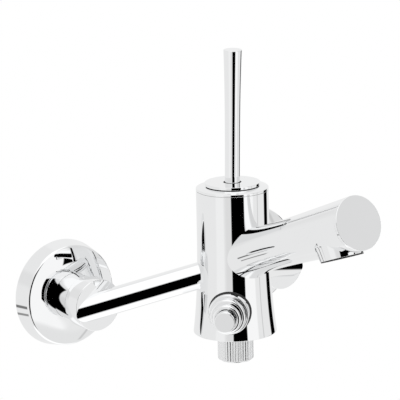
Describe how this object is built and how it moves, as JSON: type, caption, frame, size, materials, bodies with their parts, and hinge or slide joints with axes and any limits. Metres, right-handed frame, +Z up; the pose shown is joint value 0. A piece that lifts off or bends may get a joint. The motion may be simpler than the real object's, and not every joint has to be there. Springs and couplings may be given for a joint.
{
  "type": "wall mounted bath faucet",
  "caption": "Wall mounted bath mixer: flared column body on angled supply arms, stick lever, upward tubular spout, push button diverter and knurled shower outlet.",
  "frame": {"origin": "on the wall's face, midway between the two water inlets, which are 150 mm apart", "axes": "+X to the right for someone facing the wall, -Y out of the wall towards the user, +Z up"},
  "size_m": [0.22, 0.2368, 0.2018],
  "materials": {
    "chrome": "polished chrome plate",
    "brass": "machined brass",
    "steel": "turned stainless steel",
    "rubber": "moulded rubber",
    "grey_plastic": "moulded plastic",
    "white_plastic": "moulded plastic",
    "ceramic": "lapped ceramic"
  },
  "bodies": {
    "faucet": {"wall_flange_left": "chrome", "flange_ring_left": "rubber", "eccentric_union_left": "brass", "union_seal_left": "rubber", "union_nut_left": "chrome", "inlet_boss_left": "chrome", "supply_arm_left": "chrome", "wall_flange_right": "chrome", "flange_ring_right": "rubber", "eccentric_union_right": "brass", "union_seal_right": "rubber", "union_nut_right": "chrome", "inlet_boss_right": "chrome", "supply_arm_right": "chrome", "mixer_body": "chrome", "cap_ring": "chrome", "cartridge_lock_nut": "brass", "cartridge_housing": "grey_plastic", "cartridge_gasket": "rubber", "cartridge_base": "grey_plastic", "ceramic_disc_fixed": "ceramic", "spout_tube": "chrome", "spout_end_plate": "chrome", "aerator_housing": "chrome", "aerator_insert": "white_plastic", "aerator_washer": "rubber", "diverter_bezel": "chrome", "diverter_guide": "chrome", "diverter_spring": "steel", "shower_outlet": "chrome"},
    "cage": {"lever_cage": "steel", "pivot_pin": "steel"},
    "lever": {"lever_rod": "chrome", "lever_spindle": "steel"},
    "cover": {"cover_disc": "chrome"},
    "carrier": {"disc_carrier": "white_plastic", "ceramic_disc_moving": "ceramic"},
    "diverter": {"diverter_button": "chrome", "diverter_stem": "brass", "spool_seal_front": "rubber", "spool_seal_back": "rubber"}
  },
  "joints": [
    {"name": "handle_turn", "type": "hinge", "parent": "faucet", "child": "cage", "pos_m": [0, -0.0873, 0.066], "axis": [0, 0, 1], "range_deg": [-45, 45]},
    {"name": "handle_tilt", "type": "hinge", "parent": "cage", "child": "lever", "pos_m": [0, -0.0873, 0.066], "axis": [1, 0, 0], "range_deg": [0, 20]},
    {"name": "cover_slide", "type": "slide", "parent": "cage", "child": "cover", "axis": [0, -1, 0], "range_m": [0, 0.0036]},
    {"name": "ceramic_slide", "type": "slide", "parent": "cage", "child": "carrier", "axis": [0, 1, 0], "range_m": [0, 0.0023]},
    {"name": "diverter_push", "type": "slide", "parent": "faucet", "child": "diverter", "axis": [0.7071, 0.7071, 0], "range_m": [0, 0.005], "stiffness_N_per_m": 300, "springref_m": -0.012, "deforming": ["diverter_spring"]}
  ],
  "couplings": [
    {"joint": "cover_slide", "follows": "handle_tilt", "m_per_rad": 0.0102},
    {"joint": "ceramic_slide", "follows": "handle_tilt", "m_per_rad": 0.00642}
  ]
}
